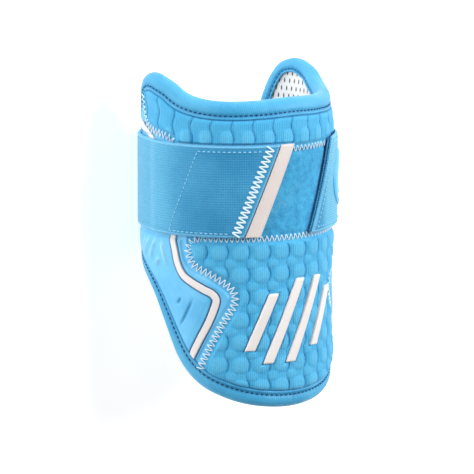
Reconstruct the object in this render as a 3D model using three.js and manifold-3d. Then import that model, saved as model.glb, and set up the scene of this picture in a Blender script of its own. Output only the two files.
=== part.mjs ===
// A batter's padded elbow guard in millimetres, +Z up, lying on the flat back of its strap.
// Y runs along the arm, with the upper arm at +Y, and the guard's front faces +Z.
// A spot on the guard is given by "around", the distance from the front's middle line round the
// pad's outer face, "along", the distance along Y from the guard's middle, and "height", the
// distance out from that face. Lengths in tables are shares of the sizes named beside them.
import * as THREE from "three";
import Module from "manifold-3d";

const wasm = await Module();
wasm.setup();
const { clamp, degToRad, euclideanModulo, inverseLerp, lerp, smoothstep } = THREE.MathUtils;

// Padded wall
const LENGTH = 198;
const PAD_RADIUS = 55.4;
const PAD_THICKNESS = 5.5;
const WRAP_ANGLE = degToRad(137.5);
const LINING_THICKNESS = 1;
const TOP_TUCK = 2.5;
const EAR_FLARE = 1.4;
const EAR_ANGLE = degToRad(104);
const EAR_FLARE_SPREAD = degToRad(38);

// Gaps between pieces that touch
const LAYER_GAP = 0.4;
const STRAP_GAP = 0.45;
const EDGE_GAP = 0.4;
const STRAP_CLEARANCE = 1.6;

// Edge binding
const BINDING_THICKNESS = 1;
const BINDING_COVER = 10.2;
const BINDING_NOSE = 3.2;

// Fabrics and moulded panels on the pad's outer face
const QUILT_THICKNESS = 1.15;
const QUILT_RELIEF = 1.1;
const QUILT_CELL_WIDTH = 12;
const QUILT_CELL_LENGTH = 13.5;
const PANEL_THICKNESS = 2.05;
const PANEL_THICKNESS_UNDER_STRAP = 0.95;
const PANEL_STEP = 2.2;
const ACCENT_WIDTH = 4.2;
const ACCENT_THICKNESS = 0.5;
const ACCENT_RISE = 0.25;
const LOOP_THICKNESS = 1.15;
const LOOP_LENGTH = 52;
const LOOP_MIDDLE = 30.2;

// Strap, with a patch of hooks behind each end
const STRAP_WIDTH = 55;
const STRAP_THICKNESS = 1.7;
const STRAP_MIDDLE = 32.6;
const STRAP_LEAN = 0.376;
const STRAP_SLOPE = 9;
const STRAP_LEFT_END = 21.1;
const STRAP_RIGHT_END = 20.4;
const HOOK_LENGTH = 54;
const HOOK_THICKNESS = 1.35;
const HOOK_EDGE_MARGIN = 2.5;
const HOOK_RIGHT_OVERHANG = 2;
const TAB_WIDTH = 8.4;
const TAB_THICKNESS = 1.7;
const TAB_SEAT = 6;

// Raised badge on the strap's right end, and the raised bars on the front
const BADGE_WIDTH = 40;
const BADGE_LENGTH = 34;
const BADGE_THICKNESS = 0.8;
const BADGE_AROUND = 54;
const BADGE_SUNK_SHARE = 0.76;
const BAR_WIDTH = 6;
const BAR_PITCH = 14;
const BAR_LEAN = 0.42;
const BAR_MIDDLE = -46;
const BAR_THICKNESS = 1.1;
const BAR_LENGTHS = [34, 50, 50, 34];

// Half the rim, from the front's lowest point up to its highest, as shares of the half wrap
// and of the length
const RIM_ROWS = [
  { around: 0, along: -0.5 },
  { around: 0.109, along: -0.496 },
  { around: 0.218, along: -0.485 },
  { around: 0.327, along: -0.464 },
  { around: 0.422, along: -0.436 },
  { around: 0.495, along: -0.4 },
  { around: 0.553, along: -0.355 },
  { around: 0.604, along: -0.296 },
  { around: 0.655, along: -0.235 },
  { around: 0.713, along: -0.179 },
  { around: 0.785, along: -0.138 },
  { around: 0.873, along: -0.107 },
  { around: 0.95, along: -0.074 },
  { around: 0.991, along: -0.022 },
  { around: 1, along: 0.045 },
  { around: 1, along: 0.13 },
  { around: 0.993, along: 0.214 },
  { around: 0.968, along: 0.281 },
  { around: 0.932, along: 0.337 },
  { around: 0.906, along: 0.388 },
  { around: 0.87, along: 0.441 },
  { around: 0.82, along: 0.481 },
  { around: 0.756, along: 0.498 },
  { around: 0.705, along: 0.499 },
  { around: 0.655, along: 0.491 },
  { around: 0.596, along: 0.477 },
  { around: 0.531, along: 0.453 },
  { around: 0.451, along: 0.438 },
  { around: 0.327, along: 0.43 },
  { around: 0.16, along: 0.432 },
  { around: 0, along: 0.436 },
];

// Seam between the quilted front and a side panel, from the ear down
const SEAM_ROWS = [
  { around: 0.786, along: 0.47 },
  { around: 0.79, along: 0.425 },
  { around: 0.786, along: 0.392 },
  { around: 0.77, along: 0.352 },
  { around: 0.73, along: 0.334 },
  { around: 0.658, along: 0.323 },
  { around: 0.575, along: 0.311 },
  { around: 0.535, along: 0.265 },
  { around: 0.509, along: 0.153 },
  { around: 0.495, along: 0.051 },
  { around: 0.489, along: -0.018 },
  { around: 0.462, along: -0.059 },
  { around: 0.368, along: -0.093 },
  { around: 0.292, along: -0.129 },
  { around: 0.272, along: -0.152 },
  { around: 0.277, along: -0.178 },
  { around: 0.328, along: -0.238 },
  { around: 0.385, along: -0.312 },
  { around: 0.427, along: -0.371 },
  { around: 0.478, along: -0.45 },
];

// Middle line of the accent strip on a side panel, from the ear down
const ACCENT_ROWS = [
  { around: 0.97, along: 0.4 },
  { around: 0.87, along: 0.352 },
  { around: 0.8, along: 0.33 },
  { around: 0.731, along: 0.309 },
  { around: 0.69, along: 0.272 },
  { around: 0.62, along: 0.168 },
  { around: 0.58, along: 0.077 },
  { around: 0.567, along: 0.016 },
  { around: 0.554, along: -0.022 },
  { around: 0.539, along: -0.061 },
  { around: 0.509, along: -0.096 },
  { around: 0.463, along: -0.116 },
  { around: 0.411, along: -0.134 },
  { around: 0.372, along: -0.147 },
  { around: 0.356, along: -0.163 },
  { around: 0.363, along: -0.187 },
  { around: 0.39, along: -0.234 },
  { around: 0.428, along: -0.284 },
  { around: 0.459, along: -0.326 },
  { around: 0.505, along: -0.39 },
];

// Mesh steps
const RIM_HALF_STEPS = 43;
const SEAM_STEPS = 32;
const ACCENT_STEPS = 38;
const OVAL_STEPS = 16;
const NOSE_STEPS = 4;
const STRAP_TURN_STEPS = 5;
const STRAP_LEAN_STEPS = 6;
const BEHIND_SEAM_STEPS = 12;
const QUILT_CELL_ROWS = 3;
const COLUMN_STEP = 7.8;
const ROW_STEP = 9.6;
const PADDED_ROWS = [0, 0.5, 0.74, 0.83, 0.92, 1];

// Cutting solids reach from below the layers to above the strap
const CUT_INNER = -2;
const CUT_OUTER = 9;

// Sizes that follow from those above
const HALF_WRAP = PAD_RADIUS * WRAP_ANGLE;
const STRAP_LOW = STRAP_MIDDLE - STRAP_WIDTH / 2;
const STRAP_HIGH = STRAP_MIDDLE + STRAP_WIDTH / 2;
const LINING_OUTER = -PAD_THICKNESS - LAYER_GAP;
const LINING_INNER = LINING_OUTER - LINING_THICKNESS;
const BINDING_OUTER = LAYER_GAP + BINDING_THICKNESS;
const BINDING_INNER = LINING_INNER - LAYER_GAP - BINDING_THICKNESS;
const BINDING_MIDDLE = (BINDING_OUTER + BINDING_INNER) / 2;
const BINDING_HALF = (BINDING_OUTER - BINDING_INNER) / 2;
const COVER_INSET = BINDING_COVER + EDGE_GAP;
const PAD_INSET = BINDING_NOSE + EDGE_GAP;
const RIM_STEPS = 2 * RIM_HALF_STEPS;
const LOOP_OUTER = LAYER_GAP + LOOP_THICKNESS;
const LOOP_LOW = LOOP_MIDDLE - LOOP_LENGTH / 2;
const LOOP_HIGH = LOOP_MIDDLE + LOOP_LENGTH / 2;
const HOOK_INNER = LOOP_OUTER + LAYER_GAP;
const HOOK_OUTER = HOOK_INNER + HOOK_THICKNESS;
const STRAP_INNER = LOOP_OUTER + STRAP_GAP;
const STRAP_RISE = HOOK_OUTER + LAYER_GAP - STRAP_INNER;
const STRAP_OUTER_ON_HOOKS = HOOK_OUTER + LAYER_GAP + STRAP_THICKNESS;
const QUILT_BASE = LAYER_GAP + QUILT_THICKNESS;
const PANEL_RISES = [
  STRAP_LOW - STRAP_CLEARANCE - PANEL_STEP,
  STRAP_LOW - STRAP_CLEARANCE,
  STRAP_HIGH + STRAP_CLEARANCE,
  STRAP_HIGH + STRAP_CLEARANCE + PANEL_STEP,
];

// Surface of the guard

function padRadius(around, along) {
  const angle = around / PAD_RADIUS;
  const frontTop = RIM_ROWS.at(-1).along * LENGTH;
  const rise = clamp(inverseLerp(STRAP_HIGH, frontTop, along), 0, 1);
  const front = Math.cos(clamp(angle / EAR_ANGLE, -1, 1) * (Math.PI / 2)) ** 2;
  const earward = clamp((Math.abs(angle) - EAR_ANGLE) / EAR_FLARE_SPREAD, -1, 1);
  const ear = Math.cos(earward * (Math.PI / 2)) ** 2;
  return PAD_RADIUS + rise ** 2 * (EAR_FLARE * ear - TOP_TUCK * front);
}

function place(around, along, height) {
  const angle = around / PAD_RADIUS;
  const radius = padRadius(around, along) + height;
  return new THREE.Vector3(radius * Math.sin(angle), along, radius * Math.cos(angle));
}

// Curves on the unrolled surface, x around and y along

function curveOf(rows, closed) {
  const points = rows.map((row) => new THREE.Vector3(row.around * HALF_WRAP, row.along * LENGTH, 0));
  return new THREE.CatmullRomCurve3(points, closed, "centripetal");
}

// The curve moved sideways, to the left of its direction where the distance is positive
function offsetCurve(curve, steps, distance) {
  const count = curve.closed ? steps : steps + 1;
  return Array.from({ length: count }, (_, i) => {
    const point = curve.getPointAt(i / steps);
    const tangent = curve.getTangentAt(i / steps);
    return new THREE.Vector2(point.x - tangent.y * distance, point.y + tangent.x * distance);
  });
}

const rimCurve = curveOf(
  [...RIM_ROWS, ...RIM_ROWS.slice(1, -1).reverse().map((row) => ({ ...row, around: -row.around }))],
  true,
);
const seamCurve = curveOf(SEAM_ROWS, false);
const accentCurve = curveOf(ACCENT_ROWS, false);
const padEdge = offsetCurve(rimCurve, RIM_STEPS, PAD_INSET);
const coverEdge = offsetCurve(rimCurve, RIM_STEPS, COVER_INSET);

const extent = (points, axis, pick) => pick(...points.map((point) => point[axis]));

// Solids from a grid of spots

function fromFaces(vertices, faces) {
  const geometry = new THREE.BufferGeometry();
  geometry.setAttribute("position", new THREE.Float32BufferAttribute(vertices, 3));
  geometry.setIndex(faces);
  return geometry;
}

// A closed wall: at(u, v, side) gives its points, with side 0 inside and 1 outside
function wall(us, vs, at) {
  const vertices = [];
  const faces = [];
  const columns = us.length;
  const rows = vs.length;
  const index = (i, j, side) => (side * rows + j) * columns + i;
  const quad = (a, b, c, d) => faces.push(a, b, c, a, c, d);
  for (const side of [0, 1]) {
    for (const v of vs) {
      for (const u of us) {
        vertices.push(...at(u, v, side));
      }
    }
  }
  for (let j = 0; j < rows - 1; j++) {
    for (let i = 0; i < columns - 1; i++) {
      quad(index(i, j, 1), index(i + 1, j, 1), index(i + 1, j + 1, 1), index(i, j + 1, 1));
      quad(index(i, j, 0), index(i, j + 1, 0), index(i + 1, j + 1, 0), index(i + 1, j, 0));
    }
  }
  for (let i = 0; i < columns - 1; i++) {
    quad(index(i, 0, 0), index(i + 1, 0, 0), index(i + 1, 0, 1), index(i, 0, 1));
    quad(index(i, rows - 1, 1), index(i + 1, rows - 1, 1), index(i + 1, rows - 1, 0), index(i, rows - 1, 0));
  }
  for (let j = 0; j < rows - 1; j++) {
    quad(index(0, j, 0), index(0, j, 1), index(0, j + 1, 1), index(0, j + 1, 0));
    const last = columns - 1;
    quad(index(last, j, 1), index(last, j, 0), index(last, j + 1, 0), index(last, j + 1, 1));
  }
  return fromFaces(vertices, faces);
}

const steps = (count) => Array.from({ length: count + 1 }, (_, i) => i / count);
const between = (low, high, count) => steps(count).map((share) => lerp(low, high, share));

// Every multiple of a step that is needed to cover low to high
function multiples(step, low, high) {
  const first = Math.floor(low / step);
  const last = Math.ceil(high / step);
  return between(first * step, last * step, last - first);
}

// A closed ring or an open run of sections, all with the same number of points
function sweep(sections, closed) {
  const faces = [];
  const size = sections[0].length;
  const runs = closed ? sections.length : sections.length - 1;
  const index = (i, j) => (i % sections.length) * size + (j % size);
  for (let i = 0; i < runs; i++) {
    for (let j = 0; j < size; j++) {
      faces.push(index(i, j), index(i, j + 1), index(i + 1, j + 1));
      faces.push(index(i, j), index(i + 1, j + 1), index(i + 1, j));
    }
  }
  for (let j = 1; !closed && j < size - 1; j++) {
    faces.push(index(0, 0), index(0, j + 1), index(0, j));
    faces.push(index(runs, 0), index(runs, j), index(runs, j + 1));
  }
  return fromFaces(sections.flat().flatMap((point) => point.toArray()), faces);
}

// The same piece on the other side of the guard
function mirrored(geometry) {
  const coordinates = Array.from(geometry.getAttribute("position").array);
  const vertices = coordinates.map((value, i) => (i % 3 === 0 ? -value : value));
  return fromFaces(vertices, Array.from(geometry.getIndex().array).reverse());
}

function solidOf(geometry) {
  const vertProperties = Float32Array.from(geometry.getAttribute("position").array);
  const triVerts = Uint32Array.from(geometry.getIndex().array);
  return new wasm.Manifold(new wasm.Mesh({ numProp: 3, vertProperties, triVerts }));
}

function geometryOf(solid) {
  const mesh = solid.getMesh();
  return fromFaces(Array.from(mesh.vertProperties), Array.from(mesh.triVerts));
}

const common = (first, ...others) =>
  geometryOf(others.reduce((solid, other) => solid.intersect(solidOf(other)), solidOf(first)));
const less = (first, ...others) =>
  geometryOf(others.reduce((solid, other) => solid.subtract(solidOf(other)), solidOf(first)));

// Layers share one grid, so that their facets stay parallel, and bend over the curved top
const rimHigh = extent(padEdge, "y", Math.max);
const topBends = between(PANEL_RISES[3], rimHigh, Math.round((rimHigh - PANEL_RISES[3]) / ROW_STEP));

function layer(low, high, inner, outer, reach = HALF_WRAP, bends = topBends) {
  const rows = [low, ...bends.filter((along) => along > low && along < high), high];
  const heights = [inner, outer].map((height) => (typeof height === "function" ? height : () => height));
  return wall(multiples(COLUMN_STEP, -reach, reach), rows, (around, along, side) =>
    place(around, along, heights[side](along)),
  );
}

// A wall over everything inside the rim. Its columns join spots of the rim's lower edge to those
// of its upper edge, so that it has the rim's own corners
function insideRim(edge, rows, inner, outer) {
  const half = RIM_HALF_STEPS;
  const columns = Array.from({ length: half }, (_, i) => i - (half - 1) / 2).map((i) => ({
    low: edge.at(i),
    high: edge.at(half - i),
  }));
  return wall(columns, rows, ({ low, high }, share, side) =>
    place(lerp(low.x, high.x, share), lerp(low.y, high.y, share), side ? outer : inner),
  );
}

// What lies behind the right-hand seam, moved forwards by a distance
function behindSeam(forwards) {
  const edge = offsetCurve(seamCurve, SEAM_STEPS, -forwards);
  return wall(steps(BEHIND_SEAM_STEPS), edge.slice().reverse(), (share, point, side) =>
    place(lerp(point.x, HALF_WRAP, share), point.y, side ? CUT_OUTER : CUT_INNER),
  );
}

// What lies between two slanting lines on the front, given where they cross the strap's middle
const lean = (along) => STRAP_LEAN * (along - STRAP_MIDDLE);

function slantingBlock(from, to) {
  const arounds = between(from, to, Math.ceil((to - from) / COLUMN_STEP));
  const alongs = between(STRAP_LOW, STRAP_HIGH, STRAP_LEAN_STEPS);
  return wall(arounds, alongs, (around, along, side) =>
    place(around + lean(along), along, side ? CUT_OUTER : CUT_INNER),
  );
}

// Padded wall, lining and binding

const insideCover = insideRim(coverEdge, PADDED_ROWS, CUT_INNER, CUT_OUTER);

// A folded tape round the rim: two legs over the wall's faces, joined by a round nose
function edgeBinding() {
  const turns = steps(NOSE_STEPS).map((share) => Math.PI * (0.5 + share));
  const section = [
    { inset: BINDING_COVER, height: BINDING_OUTER - BINDING_THICKNESS },
    { inset: BINDING_COVER, height: BINDING_OUTER },
    ...turns.map((turn) => ({
      inset: BINDING_HALF + BINDING_HALF * Math.cos(turn),
      height: BINDING_MIDDLE + BINDING_HALF * Math.sin(turn),
    })),
    { inset: BINDING_COVER, height: BINDING_INNER },
    { inset: BINDING_COVER, height: BINDING_INNER + BINDING_THICKNESS },
    { inset: BINDING_NOSE, height: BINDING_INNER + BINDING_THICKNESS },
    { inset: BINDING_NOSE, height: BINDING_OUTER - BINDING_THICKNESS },
  ];
  const rings = section.map(({ inset }) => offsetCurve(rimCurve, RIM_STEPS, inset));
  const sections = Array.from({ length: RIM_STEPS }, (_, i) =>
    section.map(({ height }, j) => place(rings[j][i].x, rings[j][i].y, height)),
  );
  return sweep(sections, true);
}

// Quilted front, above and below the loop panel

// Rows of rounded cells running away from a flat edge
function quilt(edge, far, reach) {
  const away = Math.sign(far - edge);
  const rowStep = QUILT_CELL_LENGTH / QUILT_CELL_ROWS;
  const rows = [0, ...multiples(rowStep, 0, Math.abs(far - edge)).slice(1)].map((row) => edge + away * row);
  const height = (around, along) => {
    const acrossCell = euclideanModulo(around / QUILT_CELL_WIDTH, 1) * 2 - 1;
    const downCell = euclideanModulo(Math.abs(along - edge) / QUILT_CELL_LENGTH, 1) * 2 - 1;
    const relief = (along - edge) * away > 0 ? QUILT_RELIEF : 0;
    return QUILT_BASE + relief * (1 - acrossCell ** 4) * (1 - downCell ** 4);
  };
  const alongs = away > 0 ? [LOOP_HIGH, ...rows] : [...rows.reverse(), LOOP_LOW];
  return wall(multiples(QUILT_CELL_WIDTH / 2, -reach, reach), alongs, (around, along, side) =>
    place(around, along, side ? height(around, along) : CUT_INNER),
  );
}

const besideSeam = behindSeam(EDGE_GAP / 2);
const besideSeams = [besideSeam, mirrored(besideSeam)];
const coverLow = extent(coverEdge, "y", Math.min);
const coverHigh = extent(coverEdge, "y", Math.max);
const seamReach = extent(seamCurve.getPoints(SEAM_STEPS), "x", Math.max);

function quiltedFront() {
  const high = LOOP_LOW - EDGE_GAP;
  const under = layer(coverLow, high, LAYER_GAP, CUT_OUTER, HALF_WRAP / 2);
  const cells = quilt(high, coverLow, HALF_WRAP / 2);
  return less(common(under, cells, insideCover), ...besideSeams);
}

function quiltedTop() {
  const under = layer(LOOP_HIGH + EDGE_GAP, coverHigh, LAYER_GAP, CUT_OUTER, seamReach);
  const cells = quilt(STRAP_HIGH + EDGE_GAP, coverHigh, seamReach);
  return less(common(under, cells, insideCover), ...besideSeams);
}

// Loop panel across the front, under the strap's ends
function loopPanel() {
  return less(layer(LOOP_LOW, LOOP_HIGH, LAYER_GAP, LOOP_OUTER, seamReach), ...besideSeams);
}

// Moulded side panels, each with a groove for its accent strip, thinner under the strap

function panelHeight(along) {
  const above = smoothstep(along, PANEL_RISES[2], PANEL_RISES[3]);
  const below = 1 - smoothstep(along, PANEL_RISES[0], PANEL_RISES[1]);
  return LAYER_GAP + lerp(PANEL_THICKNESS_UNDER_STRAP, PANEL_THICKNESS, above + below);
}

// A band along the accent strip's middle line, with its heights given above the panel's face
function accentBand(halfWidth, base, top) {
  const [front, rear] = [-halfWidth, halfWidth].map((offset) => offsetCurve(accentCurve, ACCENT_STEPS, offset));
  const sections = front.map((spot, i) => {
    const face = panelHeight((spot.y + rear[i].y) / 2);
    const corners = [
      [spot, base],
      [rear[i], base],
      [rear[i], top],
      [spot, top],
    ];
    return corners.map(([{ x, y }, height]) => place(x, y, face + height));
  });
  return sweep(sections, false);
}

function sidePanel() {
  const bends = [...PANEL_RISES, ...topBends.slice(1)];
  const moulded = layer(coverLow, coverHigh, LAYER_GAP, panelHeight, HALF_WRAP, bends);
  const floor = ACCENT_RISE - ACCENT_THICKNESS - LAYER_GAP;
  const groove = accentBand(ACCENT_WIDTH / 2 + EDGE_GAP, floor, CUT_OUTER);
  return less(common(moulded, insideCover, behindSeam(-EDGE_GAP / 2)), groove);
}

function accentStrip() {
  const band = accentBand(ACCENT_WIDTH / 2, ACCENT_RISE - ACCENT_THICKNESS, ACCENT_RISE);
  return common(band, insideCover);
}

// Strap, round the outside and straight across the open back

const wingTurn = (HALF_WRAP - BINDING_HALF) / PAD_RADIUS;
const wingRadius = PAD_RADIUS + BINDING_MIDDLE;
const frontLength = PAD_RADIUS * wingTurn;
const turnLength = Math.PI - wingTurn;
const backHalf = wingRadius * Math.sin(wingTurn);
const backHeight = STRAP_INNER + STRAP_THICKNESS - BINDING_MIDDLE - wingRadius * Math.cos(wingTurn);

// A point of the strap: side 1 or -1, part, and share of its way round from the front's middle
function strapPlace({ side, part, share }, along, height) {
  if (part === "front") {
    return place(side * share, along, height);
  }
  const radius = height - BINDING_MIDDLE;
  const turn = part === "turn" ? wingTurn + share * turnLength : Math.PI;
  const slack = part === "back" ? share * backHalf : 0;
  return new THREE.Vector3(
    side * (backHalf + radius * Math.sin(turn) - slack),
    along,
    wingRadius * Math.cos(wingTurn) + radius * Math.cos(turn),
  );
}

// Height of the strap's inner face on one side: it climbs over the patch of hooks
function strapInner(end, around) {
  const over = end + HOOK_LENGTH + (STRAP_LEAN * STRAP_WIDTH) / 2;
  return STRAP_INNER + STRAP_RISE * (1 - smoothstep(around, over, over + STRAP_SLOPE));
}

function strapStations(side, end) {
  const first = end - (STRAP_LEAN * STRAP_WIDTH) / 2 - COLUMN_STEP;
  const shares = [...multiples(COLUMN_STEP, first, frontLength).slice(0, -1), frontLength];
  const front = shares.map((share) => ({ side, part: "front", share, inner: strapInner(end, share) }));
  const turnShares = steps(STRAP_TURN_STEPS).slice(1);
  const turn = turnShares.map((share) => ({ side, part: "turn", share, inner: STRAP_INNER }));
  return [...front, ...turn, { side, part: "back", share: 0.5, inner: STRAP_INNER }];
}

function strap() {
  const left = strapStations(-1, STRAP_LEFT_END);
  const right = strapStations(1, STRAP_RIGHT_END);
  const stations = [...right, ...left.reverse()];
  const loop = wall(stations, [STRAP_LOW, STRAP_HIGH], (station, along, face) =>
    strapPlace(station, along, station.inner + face * STRAP_THICKNESS),
  );
  return less(loop, slantingBlock(-STRAP_LEFT_END, STRAP_RIGHT_END));
}

function hookPatch(from, to) {
  const low = STRAP_LOW + HOOK_EDGE_MARGIN;
  const high = STRAP_HIGH - HOOK_EDGE_MARGIN;
  return common(layer(low, high, HOOK_INNER, HOOK_OUTER), slantingBlock(from, to));
}

function pullTab() {
  const from = EDGE_GAP - STRAP_LEFT_END;
  const inner = HOOK_OUTER + LAYER_GAP;
  const tape = layer(STRAP_LOW, STRAP_HIGH, inner, inner + TAB_THICKNESS);
  return common(tape, slantingBlock(from, from + TAB_WIDTH));
}

// A block through the strap's right end with the badge's oval outline, at a share of its size
function ovalBlock(share) {
  const turns = steps(OVAL_STEPS).slice(1).map((turn) => turn * Math.PI * 2);
  const rings = [0, CUT_OUTER * 2].map((height) =>
    turns.map((turn) =>
      place(
        BADGE_AROUND + (share * BADGE_WIDTH * Math.cos(turn)) / 2,
        STRAP_MIDDLE + (share * BADGE_LENGTH * Math.sin(turn)) / 2,
        height,
      ),
    ),
  );
  return sweep(rings, false);
}

// An oval plate with a raised rim and a sunk middle
function badge() {
  const inner = STRAP_OUTER_ON_HOOKS + LAYER_GAP;
  const outer = inner + BADGE_THICKNESS;
  const plate = common(layer(STRAP_LOW, STRAP_HIGH, inner, outer), ovalBlock(1));
  const above = layer(STRAP_LOW, STRAP_HIGH, (inner + outer) / 2, CUT_OUTER);
  return less(plate, common(above, ovalBlock(BADGE_SUNK_SHARE)));
}

// One of the slanting bars on the front
function frontBar(row) {
  const half = BAR_LENGTHS[row] / 2;
  const inner = QUILT_BASE + QUILT_RELIEF + LAYER_GAP;
  const alongs = between(BAR_MIDDLE - half, BAR_MIDDLE + half, Math.ceil((half * 2) / ROW_STEP));
  return wall([-0.5, 0.5], alongs, (across, along, side) => {
    const middle = (row - (BAR_LENGTHS.length - 1) / 2) * BAR_PITCH;
    const around = middle + across * BAR_WIDTH + BAR_LEAN * (along - BAR_MIDDLE);
    return place(around, along, inner + side * BAR_THICKNESS);
  });
}

// Materials

const material = (color, roughness) => new THREE.MeshStandardMaterial({ color, roughness, metalness: 0 });
const QUILT_FABRIC = material(0x4aa9da, 0.85);
const PAD_FOAM = material(0x3f8fbd, 0.95);
const LINING_MESH = material(0xe4e2e0, 0.8);
const BINDING_TAPE = material(0x58b2e4, 0.6);
const MOULDED_PANEL = material(0x66bff2, 0.45);
const ACCENT_WHITE = material(0xece6e2, 0.4);
const LOOP_PILE = material(0x46a4d6, 1);
const ELASTIC = material(0x3f97c9, 0.8);
const HOOKS = material(0x2f86b8, 0.7);

// Assembly

const guard = new THREE.Group();
// The guard's axis is as high above its rest plane as the strap's flat back is behind it
guard.position.z = backHeight;

function addPiece(name, geometry, finish) {
  geometry.computeVertexNormals();
  const piece = new THREE.Mesh(geometry, finish);
  piece.name = name;
  guard.add(piece);
}

addPiece("pad_shell", insideRim(padEdge, PADDED_ROWS, -PAD_THICKNESS, 0), PAD_FOAM);
addPiece("mesh_lining", insideRim(padEdge, PADDED_ROWS, LINING_INNER, LINING_OUTER), LINING_MESH);
addPiece("edge_binding", edgeBinding(), BINDING_TAPE);
addPiece("quilted_front", quiltedFront(), QUILT_FABRIC);
addPiece("quilted_top", quiltedTop(), QUILT_FABRIC);
addPiece("loop_panel", loopPanel(), LOOP_PILE);
const panel = sidePanel();
addPiece("side_panel_left", mirrored(panel), MOULDED_PANEL);
addPiece("side_panel_right", panel, MOULDED_PANEL);
const accent = accentStrip();
addPiece("accent_strip_left", mirrored(accent), ACCENT_WHITE);
addPiece("accent_strip_right", accent, ACCENT_WHITE);
addPiece("strap", strap(), ELASTIC);
addPiece(
  "hook_patch_left",
  hookPatch(TAB_SEAT - STRAP_LEFT_END - HOOK_LENGTH, TAB_SEAT - STRAP_LEFT_END),
  HOOKS,
);
addPiece(
  "hook_patch_right",
  hookPatch(STRAP_RIGHT_END - HOOK_RIGHT_OVERHANG, STRAP_RIGHT_END + HOOK_LENGTH - TAB_SEAT),
  HOOKS,
);
addPiece("pull_tab", pullTab(), ACCENT_WHITE);
addPiece("strap_badge", badge(), MOULDED_PANEL);
BAR_LENGTHS.forEach((_, row) => addPiece(`front_bar_${row + 1}`, frontBar(row), ACCENT_WHITE));

const part = new THREE.Group();
part.add(guard);
export default part;
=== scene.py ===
"""The looks of a batter's padded elbow guard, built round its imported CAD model.

A spot on the guard is given in millimetres by "around", the distance from the front's middle
line round the pad's outer face, "along", the distance along Y from the guard's middle, and
"height", the distance out from that face.
"""
import math

import bmesh
import bpy
import numpy as np
from mathutils import Matrix, Vector


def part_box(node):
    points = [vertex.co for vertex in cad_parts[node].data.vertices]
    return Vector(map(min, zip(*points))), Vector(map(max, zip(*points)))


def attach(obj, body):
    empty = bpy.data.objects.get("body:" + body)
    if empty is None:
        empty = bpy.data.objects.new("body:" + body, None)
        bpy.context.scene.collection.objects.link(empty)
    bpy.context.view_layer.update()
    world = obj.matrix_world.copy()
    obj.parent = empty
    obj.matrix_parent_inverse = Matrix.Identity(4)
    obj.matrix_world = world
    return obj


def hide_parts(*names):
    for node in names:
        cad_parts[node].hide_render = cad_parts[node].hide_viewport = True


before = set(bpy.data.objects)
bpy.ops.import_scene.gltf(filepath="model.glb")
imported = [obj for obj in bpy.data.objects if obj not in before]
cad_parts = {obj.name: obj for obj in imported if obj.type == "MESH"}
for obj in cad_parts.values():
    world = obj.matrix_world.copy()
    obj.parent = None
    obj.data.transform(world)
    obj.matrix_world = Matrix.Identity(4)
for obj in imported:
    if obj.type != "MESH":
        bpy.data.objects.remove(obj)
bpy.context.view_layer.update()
MM = 0.001
# One unit of a UV map, in millimetres
UV_UNIT = 100


def span(node, axis=1):
    """The low and high end of a node's box, in millimetres."""
    return [corner[axis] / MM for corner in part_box(node)]


# Sizes, in millimetres. Heights are counted out from the pad's outer face.
PAD_RADIUS = 55.4
PAD_THICKNESS = 5.5
WRAP_ANGLE = math.radians(137.5)
HALF_WRAP = PAD_RADIUS * WRAP_ANGLE
# The upper rim's front leans inwards, and its ears flare outwards
TOP_TUCK = 2.5
EAR_FLARE = 1.4
EAR_ANGLE = math.radians(104)
EAR_FLARE_SPREAD = math.radians(38)
RIM_LOW, RIM_HIGH = span("edge_binding")
LENGTH = RIM_HIGH - RIM_LOW
FRONT_TOP = 0.436 * LENGTH
BINDING_OUTER = 1.4
BINDING_INNER = -8.3
BINDING_MIDDLE = (BINDING_OUTER + BINDING_INNER) / 2
BINDING_HALF = (BINDING_OUTER - BINDING_INNER) / 2
# How far the binding reaches in from the rim, on the outer face
BINDING_COVER = 10.2
AXIS_HEIGHT = span("edge_binding", 2)[1] - PAD_RADIUS - BINDING_OUTER
# The wall and the lining end this far in from the rim, inside the binding
WALL_INSET = 3.7
LINING_OUTER = -5.85
LINING_INNER = -6.9
STRAP_LOW, STRAP_HIGH = span("strap")
STRAP_MIDDLE = (STRAP_LOW + STRAP_HIGH) / 2
STRAP_WIDTH = STRAP_HIGH - STRAP_LOW
STRAP_THICKNESS = 1.7
STRAP_LEAN = 0.376
STRAP_LEFT_END = 21.1
STRAP_RIGHT_END = 20.4
STRAP_INNER = 2.0
STRAP_INNER_ON_HOOKS = 3.7
STRAP_FACE = STRAP_INNER_ON_HOOKS + STRAP_THICKNESS
HOOK_LENGTH = 54
HOOK_MARGIN = 1.2
LOOP_LOW, LOOP_HIGH = span("loop_panel")
# The covers are the quilting, the loop panel and the side panels. Each starts on the pad and is
# tucked under the binding, where it is low.
COVER_INNER = 0.2
COVER_TUCK = 1.6
EDGE_HEIGHT = 0.45
EDGE_SLOPE = 3.4
# How far the covers stay from the seams between them
QUILT_GAP = 0.1
SEAM_GAP = 0.15

# Half the rim, from the front's lowest point up to its highest, as shares of the half wrap
# and of the length
RIM_ROWS = [
    (0, -0.5), (0.109, -0.496), (0.218, -0.485), (0.327, -0.464), (0.422, -0.436), (0.495, -0.4),
    (0.553, -0.355), (0.604, -0.296), (0.655, -0.235), (0.713, -0.179), (0.785, -0.138),
    (0.873, -0.107), (0.95, -0.074), (0.991, -0.022), (1, 0.045), (1, 0.13), (0.993, 0.214),
    (0.968, 0.281), (0.932, 0.337), (0.906, 0.388), (0.87, 0.441), (0.82, 0.481), (0.756, 0.498),
    (0.705, 0.499), (0.655, 0.491), (0.596, 0.477), (0.531, 0.453), (0.451, 0.438), (0.327, 0.43),
    (0.16, 0.432), (0, 0.436),
]
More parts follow.
